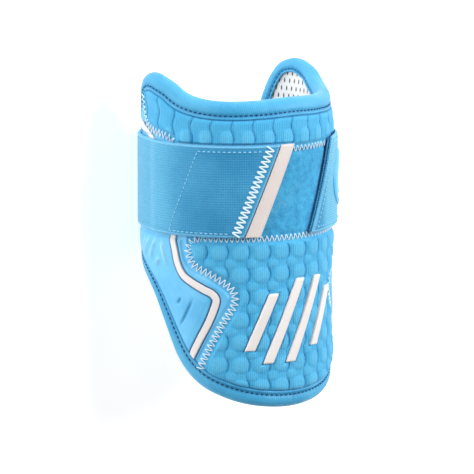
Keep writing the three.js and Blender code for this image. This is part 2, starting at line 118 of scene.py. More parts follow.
# Seam between the quilted front and a side panel, from the ear down
SEAM_ROWS = [
    (0.786, 0.47), (0.79, 0.425), (0.786, 0.392), (0.77, 0.352), (0.73, 0.334), (0.658, 0.323),
    (0.575, 0.311), (0.535, 0.265), (0.509, 0.153), (0.495, 0.051), (0.489, -0.018),
    (0.462, -0.059), (0.368, -0.093), (0.292, -0.129), (0.272, -0.152), (0.277, -0.178),
    (0.328, -0.238), (0.385, -0.312), (0.427, -0.371), (0.478, -0.45),
]
# Middle line of the accent strip on a side panel, from the ear down
ACCENT_ROWS = [
    (0.97, 0.4), (0.87, 0.352), (0.8, 0.33), (0.731, 0.309), (0.69, 0.272), (0.62, 0.168),
    (0.58, 0.077), (0.567, 0.016), (0.554, -0.022), (0.539, -0.061), (0.509, -0.096),
    (0.463, -0.116), (0.411, -0.134), (0.372, -0.147), (0.356, -0.163), (0.363, -0.187),
    (0.39, -0.234), (0.428, -0.284), (0.459, -0.326), (0.505, -0.39),
]


# Curves on the unrolled surface

def smooth_step(value, low, high):
    share = np.clip((value - low) / (high - low), 0, 1)
    return share * share * (3 - 2 * share)


def rounded(share):
    """0 to 1 as a quarter of a circle, steep at the start."""
    share = np.clip(share, 0, 1)
    return np.sqrt(1 - (1 - share) ** 2)


def bell(value, width):
    """1 at 0, falling off on both sides."""
    return np.exp(-(value / width) ** 2)


def within(value, low, high):
    """Distance to the nearer of two limits, positive between them."""
    return np.minimum(value - low, high - value)


def reaches(line):
    """How far along a line each of its points is."""
    return np.concatenate([[0], np.cumsum(np.linalg.norm(np.diff(line, axis=0), axis=1))])


def spread(points, count, closed=False):
    """The points moved to equal distances along their own line."""
    line = np.vstack([points, points[:1]]) if closed else points
    reach = reaches(line)
    at = np.linspace(0, reach[-1], count + 1)
    at = at[:-1] if closed else at
    return np.stack([np.interp(at, reach, values) for values in line.T], axis=1)


def blend(first, last, low, high, at):
    """The first value where at is low, and the last one where it is high."""
    return (first * (high - at) + last * (at - low)) / (high - low)


def smooth_line(rows, closed=False):
    """A centripetal Catmull-Rom curve through the rows, as a dense line."""
    points = np.array(rows, float) * [HALF_WRAP, LENGTH]
    if closed:
        padded = np.vstack([points[-1:], points, points[:2]])
    else:
        padded = np.vstack([2 * points[:1] - points[1:2], points, 2 * points[-1:] - points[-2:-1]])
    share = np.linspace(0, 1, 24, endpoint=False)[:, None]
    parts = []
    for near in zip(padded, padded[1:], padded[2:], padded[3:]):
        gaps = [np.linalg.norm(q - p) ** 0.5 for p, q in zip(near, near[1:])]
        knots = np.cumsum([0] + gaps)
        at = knots[1] + (knots[2] - knots[1]) * share
        ab, bc, cd = (blend(*near[i:i + 2], *knots[i:i + 2], at) for i in range(3))
        abc = blend(ab, bc, knots[0], knots[2], at)
        bcd = blend(bc, cd, knots[1], knots[3], at)
        parts.append(blend(abc, bcd, knots[1], knots[2], at))
    return np.vstack(parts if closed else parts + [points[-1:]])


def sideways(line, distance, closed=False):
    """The line moved to the left of its direction."""
    if closed:
        tangent = np.roll(line, -1, axis=0) - np.roll(line, 1, axis=0)
    else:
        tangent = np.gradient(line, axis=0)
    tangent /= np.linalg.norm(tangent, axis=1)[:, None]
    normal = np.stack([-tangent[:, 1], tangent[:, 0]], axis=1)
    return line + normal * np.asarray(distance).reshape(-1, 1)


def distance_to(line, around, along):
    """Shortest distance from each spot to a dense line."""
    spots = np.stack([np.ravel(around), np.ravel(along)], axis=1)
    nearest = np.empty(len(spots))
    for i in range(0, len(spots), 4000):
        block = spots[i:i + 4000]
        gaps = ((block[:, None, :] - line[None, :, :]) ** 2).sum(axis=2)
        nearest[i:i + 4000] = np.sqrt(gaps.min(axis=1))
    return nearest.reshape(np.shape(around))


def crossing(line, axis, value):
    """Where a closed line crosses a constant around (axis 0) or along (axis 1), at its highest
    place in the other direction."""
    a, b = line, np.roll(line, -1, axis=0)
    hit = (a[:, axis] <= value) != (b[:, axis] <= value)
    if not hit.any():
        return math.nan
    share = (value - a[hit, axis]) / (b[hit, axis] - a[hit, axis])
    return (a[hit, 1 - axis] + share * (b[hit, 1 - axis] - a[hit, 1 - axis])).max()


rim_rows = RIM_ROWS + [(-around, along) for around, along in RIM_ROWS[-2:0:-1]]
rim_line = spread(smooth_line(rim_rows, closed=True), 1200, closed=True)
seam_line = spread(smooth_line(SEAM_ROWS), 500)
accent_line = spread(smooth_line(ACCENT_ROWS), 500)
cover_edge = sideways(rim_line, BINDING_COVER - COVER_TUCK, closed=True)


def rim_distance(around, along):
    return distance_to(rim_line[::3], around, along)


def seam_distance(around, along):
    return distance_to(seam_line[::2], np.abs(around), along)


def seam_around(along):
    return np.interp(-along, -seam_line[:, 1], seam_line[:, 0])


def place(around, along, height):
    """Spots on the guard as points in millimetres."""
    around, along, height = np.broadcast_arrays(around, along, height)
    angle = around / PAD_RADIUS
    rise = np.clip((along - STRAP_HIGH) / (FRONT_TOP - STRAP_HIGH), 0, 1)
    front = np.cos(np.clip(angle / EAR_ANGLE, -1, 1) * math.pi / 2) ** 2
    earward = np.clip((np.abs(angle) - EAR_ANGLE) / EAR_FLARE_SPREAD, -1, 1)
    ear = np.cos(earward * math.pi / 2) ** 2
    radius = PAD_RADIUS + height + rise ** 2 * (EAR_FLARE * ear - TOP_TUCK * front)
    return np.stack([radius * np.sin(angle), along, AXIS_HEIGHT + radius * np.cos(angle)], axis=-1)


def waves(around, along, size, seed):
    """Smooth uneven variation, about -1 to 1, with features of about that size."""
    random = np.random.default_rng(seed)
    count, total = 7, 0
    for _ in range(count):
        turn, phase = random.uniform(0, math.tau, 2)
        pitch = size * random.uniform(0.8, 2.2)
        run = around * math.cos(turn) + along * math.sin(turn)
        total = total + np.sin(run * math.tau / pitch + phase)
    return total / (count / 2)


def lean(along):
    """How far the strap's slanting ends run forwards, from the strap's middle."""
    return STRAP_LEAN * (along - STRAP_MIDDLE)


def slanted(at_middle, along):
    return at_middle + lean(along)


# Meshes

def add_object(name, data):
    added = bpy.data.objects.new(name, data)
    bpy.context.scene.collection.objects.link(added)
    return added


def new_piece(name, points, faces, uv=None, marks=None, sharp=38):
    """A smooth mesh from points in millimetres. It is sharp where it turns by more than the
    angle given, in degrees."""
    mesh = bpy.data.meshes.new(name)
    mesh.from_pydata((np.reshape(points, (-1, 3)) * MM).tolist(), [], faces)
    mesh.update()
    mesh.polygons.foreach_set("use_smooth", np.ones(len(mesh.polygons), bool))
    if sharp is not None:
        mesh.set_sharp_from_angle(angle=math.radians(sharp))
    if uv is not None:
        corners = np.empty(len(mesh.loops), np.int32)
        mesh.loops.foreach_get("vertex_index", corners)
        layer = mesh.uv_layers.new(name="UVMap")
        shares = np.asarray(uv, np.float32).reshape(-1, 2) / UV_UNIT
        layer.data.foreach_set("uv", shares[corners].ravel())
    for mark, values in (marks or {}).items():
        attribute = mesh.attributes.new(mark, "FLOAT", "POINT")
        attribute.data.foreach_set("value", np.asarray(values, np.float32).ravel())
    return add_object(name, mesh)


def grid_faces(rows, columns):
    index = np.arange(rows * columns).reshape(rows, columns)
    corners = index[:-1, :-1], index[:-1, 1:], index[1:, 1:], index[1:, :-1]
    return np.stack(corners, axis=-1).reshape(-1, 4)


def wall_mesh(name, around, along, outer, inner, marks=None, at=place, sharp=38):
    """A closed wall over a grid of spots, between its outer and its inner height."""
    rows, columns = around.shape
    count = rows * columns
    index = np.arange(count).reshape(rows, columns)
    points = np.vstack([at(around, along, height).reshape(-1, 3) for height in (outer, inner)])
    top = grid_faces(rows, columns)
    border = np.concatenate([index[0, :-1], index[:-1, -1], index[-1, :0:-1], index[:0:-1, 0]])
    after = np.roll(border, -1)
    edge = np.stack([border, border + count, after + count, after], axis=1)
    faces = np.vstack([top, top[:, ::-1] + count, edge]).tolist()
    uv = np.tile(np.stack([around, along], axis=-1).reshape(-1, 2), (2, 1))
    both = {mark: np.tile(np.ravel(values), 2) for mark, values in (marks or {}).items()}
    return new_piece(name, points, faces, uv, both, sharp)


def ruled_grid(first, last, rows):
    """A grid whose rows run from a first to a last line of spots."""
    share = np.linspace(0, 1, rows)[:, None, None]
    return np.moveaxis(first * (1 - share) + last * share, 2, 0)


def row_grid(alongs, left, right, columns):
    sides = [np.column_stack([edge, alongs]) for edge in (left, right)]
    return ruled_grid(*sides, columns).transpose(0, 2, 1)


def rim_grid(inset, half_columns, rows):
    """A grid over everything inside the rim, with columns from its lower to its upper edge."""
    count = half_columns * 2
    edge = spread(sideways(rim_line, inset, closed=True), count, closed=True)
    steps = np.arange(half_columns) - (half_columns - 1) // 2
    return ruled_grid(edge[steps % count], edge[(half_columns - steps) % count], rows)


def side_by_side(lines):
    """Around and along of a grid that has lines of spots as its columns."""
    return np.moveaxis(np.stack(lines, axis=1), 2, 0)


def stitches(name, threads, radius, lift, plunge=0.35):
    """Short threads, given as where they start and end in (around, along, height). They arch
    over the fabric by lift and dive into it by plunge at both ends."""
    starts, ends = threads
    share = np.array([0, 0.12, 0.35, 0.65, 0.88, 1])[:, None]
    arch = np.array([-plunge, 0.55 * lift, lift, lift, 0.55 * lift, -plunge])
    thick = radius * np.array([0.55, 0.95, 1, 1, 0.95, 0.55])
    spots = starts[:, None, :] * (1 - share) + ends[:, None, :] * share
    around, along, height = spots[..., 0], spots[..., 1], spots[..., 2] + arch
    middle = place(around, along, height)
    normal = place(around, along, height + 1) - middle
    side = np.cross(np.gradient(middle, axis=1), normal)
    side /= np.linalg.norm(side, axis=-1)[..., None]
    corners = 6
    turn = (np.arange(corners) * math.tau / corners)[:, None]
    ring = side[:, :, None, :] * np.cos(turn) + normal[:, :, None, :] * np.sin(turn)
    points = middle[:, :, None, :] + ring * thick[:, None, None]
    index = np.arange(points.size // 3).reshape(points.shape[:3])
    ahead = np.roll(index, -1, axis=2)
    tube = np.stack([index[:, :-1], ahead[:, :-1], ahead[:, 1:], index[:, 1:]], axis=-1)
    caps = index[:, 0, ::-1].tolist() + index[:, -1].tolist()
    return new_piece(name, points, tube.reshape(-1, 4).tolist() + caps, sharp=None)


def zigzag(line, pitch, half_width, height):
    """Starts and ends of the threads of a zigzag along a line of spots."""
    count = max(2, int(round(reaches(line)[-1] / (pitch / 2))))
    swing = half_width * np.where(np.arange(count + 1) % 2, 1, -1)
    corners = sideways(spread(line, count), swing)
    spots = np.column_stack([corners, np.full(count + 1, height)])
    return spots[:-1], spots[1:]


def dashes(line, pitch, length, height, closed=False):
    """Starts and ends of running stitches along a line of spots."""
    count, steps = int(round(reaches(line)[-1] / pitch)), 20
    fine = spread(line, count * steps, closed)
    last = fine[int(round(steps * length / pitch))::steps][:count]
    first = fine[::steps][:len(last)]
    return [np.column_stack([spots, np.full(len(spots), height)]) for spots in (first, last)]


# Materials

def linear(red, green, blue):
    """A colour given as it shows on a screen, 0 to 255."""
    shares = np.array([red, green, blue]) / 255
    shares = np.where(shares <= 0.04045, shares / 12.92, ((shares + 0.055) / 1.055) ** 2.4)
    return (*shares.tolist(), 1.0)


class Look:
    """A node material, with helpers that add nodes and link their first output."""

    def __init__(self, name, roughness, sheen=(0, 0.5), specular=0.5, **sockets):
        self.material = bpy.data.materials.new(name)
        self.material.use_nodes = True
        self.tree = self.material.node_tree
        self.shader = self.tree.nodes["Principled BSDF"]
        sockets.update(
            Roughness=roughness, Specular_IOR_Level=specular,
            Sheen_Weight=sheen[0], Sheen_Roughness=sheen[1],
        )
        for socket, value in sockets.items():
            self.shader.inputs[socket.replace("_", " ")].default_value = value

    def node(self, kind, inputs=(), **settings):
        node = self.tree.nodes.new("ShaderNode" + kind)
        for setting, value in settings.items():
            setattr(node, setting, value)
        for socket, value in dict(inputs).items():
            target = node.inputs[socket]
            if isinstance(value, bpy.types.NodeSocket):
                self.tree.links.new(value, target)
            else:
                target.default_value = value
        return node

    def math(self, operation, *values):
        return self.node("Math", enumerate(values), operation=operation).outputs[0]

    def times(self, value, factor):
        return self.math("MULTIPLY", value, factor)

    def attribute(self, name):
        return self.node("Attribute", attribute_name=name).outputs["Fac"]

    def spot(self):
        """Around and along in millimetres, from the UV map."""
        parts = self.node("SeparateXYZ", {0: self.node("UVMap", uv_map="UVMap").outputs[0]})
        return [self.times(parts.outputs[i], UV_UNIT) for i in (0, 1)]

    def noise(self, scale, detail, roughness=0.55):
        inputs = {"Scale": scale, "Detail": detail, "Roughness": roughness}
        inputs["Vector"] = self.node("TexCoord").outputs["Object"]
        return self.node("TexNoise", inputs).outputs[0]

    def wave(self, value, pitch):
        """A sine from 0 to 1 across a value in millimetres."""
        turned = self.times(value, math.tau / pitch)
        return self.math("MULTIPLY_ADD", self.math("SINE", turned), 0.5, 0.5)

    def rest(self, value):
        return self.math("SUBTRACT", 1.0, value)

    def mix(self, share, first, second):
        return self.node("Mix", {0: share, 6: first, 7: second}, data_type="RGBA").outputs[2]

    def tint(self, shade, share, amount, colour):
        """The shade with up to that amount of a colour in it."""
        return self.mix(self.times(share, amount), shade, colour)

    def ramp(self, value, low, high):
        return self.node("MapRange", {0: value, 1: low, 2: high}).outputs[0]

    def rough(self, value):
        self.tree.links.new(value, self.shader.inputs["Roughness"])

    def done(self, colour, *bumps):
        """The material in that colour, with bumps one over the other, each as (height from 0 to
        1, its size in millimetres)."""
        self.tree.links.new(colour, self.shader.inputs["Base Color"])
        inputs = {"Strength": 1.0}
        for height, size in bumps:
            inputs.update(Distance=size * MM, Height=height)
            inputs["Normal"] = self.node("Bump", inputs).outputs[0]
        self.tree.links.new(inputs["Normal"], self.shader.inputs["Normal"])
        return self.material


def quilt_look():
    look = Look("quilted_fabric", 0.75, sheen=(0.2, 0.45), specular=0.3)
    around, along = look.spot()
    row = look.math("MULTIPLY_ADD", look.wave(along, 1.5), 0.15, 0.85)
    knit = look.times(look.wave(around, 1.15), row)
    patch, grain = look.noise(70, 3), look.noise(1100, 2)
    deep, base, pale = linear(24, 118, 174), linear(74, 180, 228), linear(114, 208, 244)
    relief_and_shading = look.attribute("relief_and_shading")
    # Painted shade in the valleys and painted highlight on the swelling tops, both from the relief
    shade = look.mix(look.ramp(relief_and_shading, 0.0, 0.45), deep, base)
    shade = look.tint(shade, look.ramp(relief_and_shading, 0.58, 0.95), 0.42, pale)
    shade = look.tint(shade, look.ramp(patch, 0.42, 0.78), 0.35, pale)
    shade = look.tint(shade, look.rest(knit), 0.22, deep)
    shade = look.tint(shade, look.ramp(grain, 0.35, 0.7), 0.2, deep)
    return look.done(shade, (patch, 0.25), (grain, 0.2), (knit, 0.12))


def binding_look():
    look = Look("binding_tape", 0.5, sheen=(0.15, 0.35), specular=0.35)
    rib = look.wave(look.spot()[0], 1.3)
    patch = look.noise(45, 3)
    base, pale, deep = linear(62, 162, 210), linear(92, 186, 228), linear(24, 112, 168)
    shade = look.mix(look.ramp(patch, 0.35, 0.75), base, pale)
    # Painted shade in the creases beside the lip and along the stitch line
    shade = look.tint(shade, look.attribute("crease_shade"), 0.6, deep)
    shade = look.tint(shade, rib, 0.15, deep)
    return look.done(shade, (patch, 0.3), (look.noise(1500, 2), 0.06), (rib, 0.1))


def panel_look():
    look = Look("moulded_panel", 0.42, sheen=(0.1, 0.5))
    patch, grain = look.noise(60, 4), look.noise(900, 2)
    base, pale, deep = linear(90, 184, 234), linear(112, 200, 244), linear(10, 80, 138)
    shade = look.mix(look.ramp(patch, 0.35, 0.7), base, pale)
    # Painted highlight along the ridges
    shade = look.tint(shade, look.attribute("wear_and_highlight"), 0.7, linear(172, 228, 252))
    # Painted shade in the groove, the dents and beside the binding
    shade = look.mix(look.attribute("groove_shade"), shade, deep)
    look.rough(look.math("MULTIPLY_ADD", grain, 0.2, 0.34))
    return look.done(shade, (patch, 0.2), (grain, 0.05))


def white_look(name, colour, roughness):
    look = Look(name, roughness, Coat_Weight=0.15, Coat_Roughness=0.3)
    patch, grain = look.noise(80, 3), look.noise(1400, 2)
    warm = tuple(value * shift for value, shift in zip(colour, (0.97, 0.93, 0.92))) + (1.0,)
    look.rough(look.math("MULTIPLY_ADD", grain, 0.16, roughness - 0.08))
    shade = look.mix(look.ramp(patch, 0.4, 0.8), colour, warm)
    return look.done(shade, (patch, 0.12), (grain, 0.03))


def loop_look():
    look = Look("loop_pile", 0.92, sheen=(0.3, 0.5), specular=0.2)
    tuft, clump, wear_and_highlight = look.noise(1100, 3, 0.65), look.noise(260, 4, 0.6), look.noise(55, 3)
    base, pale, deep = linear(64, 170, 218), linear(120, 208, 244), linear(42, 138, 190)
    shade = look.mix(look.ramp(clump, 0.3, 0.62), deep, base)
    shade = look.tint(shade, look.ramp(tuft, 0.52, 0.75), 0.45, pale)
    shade = look.tint(shade, look.ramp(wear_and_highlight, 0.55, 0.78), 0.5, pale)
    return look.done(shade, (wear_and_highlight, 0.4), (clump, 0.5), (tuft, 0.25))


def elastic_look():
    look = Look("elastic_webbing", 0.7, sheen=(0.25, 0.45), specular=0.3)
    walk, across = look.spot()
    weft = look.times(look.wave(walk, 1.25), 0.4)
    weave = look.math("MULTIPLY_ADD", look.wave(across, 1.5), 0.6, weft)
    patch, grain = look.noise(38, 3), look.noise(1100, 2)
    base, pale, deep = linear(52, 150, 198), linear(78, 174, 218), linear(24, 104, 156)
    shade = look.mix(look.ramp(patch, 0.35, 0.75), base, pale)
    # Paler left and right parts: bare elastic and painted highlight
    shade = look.tint(shade, look.attribute("bare_and_highlight"), 0.8, linear(112, 204, 238))
    shade = look.tint(shade, look.rest(weave), 0.4, deep)
    shade = look.tint(shade, look.ramp(grain, 0.35, 0.7), 0.25, deep)
    # Paler selvage lines, and a painted highlight along the cut ends
    shade = look.mix(look.attribute("selvage_and_end_highlight"), shade, linear(120, 196, 232))
    return look.done(shade, (patch, 0.25), (grain, 0.22), (weave, 0.18))


def hook_look():
    look = Look("hook_tape", 0.6)
    around, along = look.spot()
    pins = look.times(look.wave(around, 1.4), look.wave(along, 1.4))
    shade = look.mix(look.ramp(pins, 0.1, 0.7), linear(66, 158, 204), linear(96, 190, 232))
    return look.done(shade, (pins, 0.35))


def lining_look():
    """White mesh with slots in rows, every other row half a slot on, the slots painted dark as shade
    in the holes.
    """
    look = Look("lining_mesh", 0.75, sheen=(0.2, 0.5))
    around, along = look.spot()
    pitch_across, pitch_down = 4.4, 4.6
    half_wide, half_tall = 0.62, 1.5

    def reach(steps, pitch, half):
        """Distance from the middle of a slot, as a share of its half size, squared."""
        offset = look.math("SUBTRACT", look.math("FRACT", steps), 0.5)
        offset = look.math("ABSOLUTE", look.times(offset, pitch))
        return look.math("POWER", look.math("DIVIDE", offset, half), 2.0)

    rows = look.math("DIVIDE", along, pitch_down)
    # The even number only keeps the rows positive
    row = look.math("ADD", look.math("FLOOR", rows), 200.0)
    odd = look.times(look.math("MODULO", row, 2.0), 0.5)
    columns = look.math("ADD", look.math("DIVIDE", around, pitch_across), odd)
    wide, tall = reach(columns, pitch_across, half_wide), reach(rows, pitch_down, half_tall)
    cloth = look.ramp(look.math("ADD", wide, tall), 0.6, 1.2)
    knit = look.times(look.wave(around, 1.1), look.wave(along, 1.1))
    patch = look.noise(60, 3)
    shade = look.mix(look.ramp(patch, 0.35, 0.75), linear(238, 237, 236), linear(250, 249, 248))
    shade = look.tint(shade, look.rest(knit), 0.12, linear(186, 188, 192))
    # Painted shade in the slots
    shade = look.mix(cloth, linear(84, 88, 92), shade)
    return look.done(shade, (patch, 0.2), (knit, 0.12), (cloth, 0.5))


def foam_look():
    look = Look("pad_foam", 0.9)
    cells = look.noise(1200, 3)
    return look.done(look.mix(cells, linear(38, 116, 162), linear(66, 156, 202)), (cells, 0.2))


def thread_look(name, pale, deep, roughness=0.55):
    look = Look(name, roughness, specular=0.25)
    twist = look.noise(2200, 2)
    return look.done(look.mix(look.ramp(twist, 0.35, 0.7), deep, pale), (twist, 0.08))


QUILT = quilt_look()
BINDING = binding_look()
PANEL = panel_look()
WHITE_TRIM = white_look("white_trim", linear(236, 230, 227), 0.42)
WHITE_LABEL = white_look("white_label", linear(222, 212, 208), 0.55)
LOOP = loop_look()
ELASTIC = elastic_look()
HOOKS = hook_look()
LINING = lining_look()
FOAM = foam_look()
PALE_THREAD = thread_look("pale_thread", linear(240, 250, 255), linear(206, 234, 248))
BLUE_THREAD = thread_look("blue_thread", linear(172, 224, 246), linear(124, 198, 234))
DARK_THREAD = thread_look("dark_thread", linear(8, 78, 130), linear(4, 52, 98), 0.8)
MID_THREAD = thread_look("mid_thread", linear(44, 132, 184), linear(28, 104, 158), 0.8)


def finish_piece(piece, look, slot, *nodes):
    piece.data.materials.append(look)
    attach(piece, "root")
    if nodes:
        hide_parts(*nodes)
    return piece


# Padded wall and lining

def padded_wall():
    around, along = rim_grid(WALL_INSET, 121, 40)
    edge = rounded((rim_distance(around, along) - WALL_INSET + 0.1) / 1.5)
    inner = 0.6 * (1 - edge) - PAD_THICKNESS
    piece = wall_mesh("padded_wall", around, along, -0.5 + 0.45 * edge, inner)
    finish_piece(piece, FOAM, "pad_foam", "pad_shell")


def lining():
    around, along = rim_grid(WALL_INSET, 211, 90)
    from_rim = rim_distance(around, along)
    pillow = rounded((from_rim - BINDING_COVER + 2) / 9)
    edge = rounded((from_rim - WALL_INSET + 0.1) / 1.2)
    inner = LINING_INNER + 0.5 * (1 - edge) + 0.45 * (1 - pillow)
    inner -= 0.12 * waves(around, along, 22, 3) * pillow
    piece = wall_mesh("lining", around, along, LINING_OUTER, inner)
    finish_piece(piece, LINING, "lining_mesh", "mesh_lining")


# Edge binding, with its running stitches inside and out

STITCH_INSET = 7.9
STITCH_PITCH = 3.05
STITCH_LENGTH = 1.9
STITCH_HEIGHT = 1.12
# The tape's inner leg covers a little less than the outer one
INNER_COVER = 0.78
# The outer leg from its free edge to the nose, as inset from the rim, height and painted crease shade
OUTER_LEG = [
    (9.3, 0.5, 0), (10.1, 0.55, 1), (10.45, 0.95, 0.7), (10.25, 1.5, 0), (9.8, 1.78, 0),
    (9.2, 1.6, 0.1), (8.6, 1.2, 0.9), (STITCH_INSET, 1.05, 0.7), (7.2, 1.25, 0.45),
    (6.5, 1.52, 0.05), (5.6, 1.6, 0),
]
# The inside of the fold, where the wall's rim sits
CHANNEL = [(4.2, -6.3, 0), (3.3, -5.6, 0), (3.3, -0.6, 0), (4.2, -0.1, 0)]


def binding_section():
    """Inset, height and painted crease shade of the tape, once round its section."""
    nose = [
        (BINDING_HALF * (1 + math.cos(t)), BINDING_MIDDLE + (BINDING_HALF + 0.12) * math.sin(t), 0)
        for t in np.linspace(0.5, 1.5, 17) * math.pi
    ]
    inner_leg = [
        (inset * INNER_COVER, 2 * BINDING_MIDDLE - height, crease_shade)
        for inset, height, crease_shade in OUTER_LEG[::-1]
    ]
    return np.array(OUTER_LEG + nose + inner_leg + CHANNEL, float).T


def binding():
    inset, height, crease_shade = binding_section()
    stations, count = 1000, len(inset)
    rings = [sideways(rim_line, distance, closed=True) for distance in inset]
    around, along = side_by_side([spread(ring, stations, closed=True) for ring in rings])
    length = reaches(rim_line)[-1]
    walk = np.arange(stations)[:, None] / stations * length
    across = reaches(np.column_stack([inset, height]))

    side = np.sign(height - BINDING_MIDDLE)
    stitched = np.where(height > BINDING_MIDDLE, STITCH_INSET, STITCH_INSET * INNER_COVER)
    near_stitch = bell(inset - stitched, 1.3) * side
    pucker = 0.16 * np.cos(walk / length * round(length / STITCH_PITCH) * math.tau) * near_stitch
    shown = np.arange(count) < count - len(CHANNEL)
    uneven = 0.1 * waves(walk, 3 * inset, 26, 5) * shown * side
    outward = place(around, along, height + 1) - place(around, along, height)
    points = place(around, along, height + pucker) + outward * uneven[..., None]

    index = np.arange(stations * count).reshape(stations, count)
    beside, ahead = np.roll(index, -1, axis=1), np.roll(index, -1, axis=0)
    faces = np.stack([index, beside, np.roll(beside, -1, axis=0), ahead], axis=-1).reshape(-1, 4)
    piece = new_piece(
        "rolled_binding", points, faces.tolist(),
        np.stack(np.broadcast_arrays(walk, across), axis=-1),
        {"crease_shade": np.broadcast_to(crease_shade, around.shape)}, sharp=60,
    )
    finish_piece(piece, BINDING, "binding_tape", "edge_binding")

    for name, out, cover, thread in (
        ("outside", 1, 1, DARK_THREAD), ("inside", -1, INNER_COVER, MID_THREAD),
    ):
        line = sideways(rim_line, STITCH_INSET * cover, closed=True)
        level = BINDING_MIDDLE + out * (STITCH_HEIGHT - BINDING_MIDDLE)
        threads = dashes(line, STITCH_PITCH, STITCH_LENGTH, level, closed=True)
        piece = stitches(f"binding_stitches_{name}", threads, 0.36, 0.2 * out, 0.25 * out)
        finish_piece(piece, thread, "binding_tape")


# Quilted fabric

# The raised bars on it, as around and length
BARS = [(-21, 34), (-7, 50), (7, 50), (21, 34)]
BAR_WIDTH = 6
BAR_LEAN = 0.42
BAR_MIDDLE = -46
# A cell's size and the middle of one cell, as around and along
CELL_WIDE = 12.1
CELL_TALL = 13.5
FRONT_CELL = (-10.3, -4.0)
TOP_CELL = (-7.3, 63.3)
# Swellings as shares of a cell: shift around, shift along, half width, half height, size
FRONT_SWELLINGS = [(0.07, 0, 0.41, 0.41, 1.0), (0.68, 0.5, 0.31, 0.26, 0.8)]
TOP_SWELLINGS = [(0.16, 0, 0.32, 0.45, 1.0)]
# How high the columns stand between their swellings, as a share of a swelling
COLUMN_HEIGHT = 0.54
SWELLING_HEIGHT = 1.55
# The fabric's greatest heights, so that it stays under the bars and the strap
QUILT_TOP = 3.5
QUILT_TOP_UNDER_BARS = 2.1
QUILT_TOP_UNDER_STRAP = 1.45


def cells(around, along, first, swellings, last_row=math.inf):
    """Columns of rounded swellings with narrow valleys between the columns, from 0 to 1. Above
    the last row the columns run on without swellings."""
    across = (around - first[0]) / CELL_WIDE
    down = (along - first[1]) / CELL_TALL
    swayed = across + 0.03 - 0.07 * np.cos(down * math.tau)
    column = swayed - np.round(swayed)
    total = COLUMN_HEIGHT * np.clip(1 - np.abs(column / 0.5) ** 10, 0, 1)
    for right, up, half_wide, half_tall, size in swellings:
        side, tall = across - right, down - up
        side = (side - np.round(side)) / half_wide
        tall = (tall - np.minimum(np.round(tall), last_row)) / half_tall
        reach = np.abs(side) ** 3.0 + np.abs(tall) ** 2.5
        total = np.maximum(total, size * np.clip(1 - reach, 0, 1) ** 0.42)
    return total


def edge_rise(from_rim):
    """0 where a cover starts beside the binding, rising to 1 within a few millimetres."""
    return rounded((from_rim - BINDING_COVER) / EDGE_SLOPE)


def quilt_height(around, along, relief_and_shading, from_seam):
    """The fabric's height, and its relief for the painted shade and highlight, falling to a painted
    shadow line beside the binding.
    """
    from_rim = rim_distance(around, along)
    puffed = smooth_step(from_rim, BINDING_COVER - 0.8, BINDING_COVER + 1.4)
    puffed = puffed * smooth_step(from_seam, 1.8, 4.6)
    swell = 0.35 + 0.12 * waves(around, along, 30, 9) + SWELLING_HEIGHT * relief_and_shading
    height = EDGE_HEIGHT + (0.95 + swell * puffed) * edge_rise(from_rim)
    # The relief kept for the look falls to 0 beside the binding, a painted shadow line
    shown = np.minimum(relief_and_shading * puffed + (1 - puffed) * 0.45, 1)
    return height, shown * smooth_step(from_rim, BINDING_COVER + 0.2, BINDING_COVER + 1.4)


def bar_cover(around, along):
    """1 under the raised bars and 0 away from them."""
    cover = 0
    for middle, length in BARS:
        across = np.abs(around - middle - BAR_LEAN * (along - BAR_MIDDLE)) - BAR_WIDTH / 2
        beyond = np.abs(along - BAR_MIDDLE) - length / 2
        cover = np.maximum(cover, 1 - smooth_step(np.maximum(across, beyond), 0.2, 1.6))
    return cover


def quilted_front():
    low = cover_edge[:, 1].min() + 0.02
    alongs = low + (LOOP_LOW - 0.2 - low) * np.linspace(0, 1, 180) ** 1.2
    reach = np.array([min(seam_around(y) - QUILT_GAP, crossing(cover_edge, 1, y)) for y in alongs])
    around, along = row_grid(alongs, -reach, reach, 220)
    from_seam = np.minimum(seam_distance(around, along), LOOP_LOW - along)
    relief_and_shading = cells(around, along, FRONT_CELL, FRONT_SWELLINGS)
    height, relief_and_shading = quilt_height(around, along, relief_and_shading, from_seam)
    cover = bar_cover(around, along)
    height = np.minimum(height, QUILT_TOP - (QUILT_TOP - QUILT_TOP_UNDER_BARS) * cover)
    piece = wall_mesh("quilted_front_fabric", around, along, height, COVER_INNER, {"relief_and_shading": relief_and_shading})
    finish_piece(piece, QUILT, "quilted_fabric", "quilted_front")


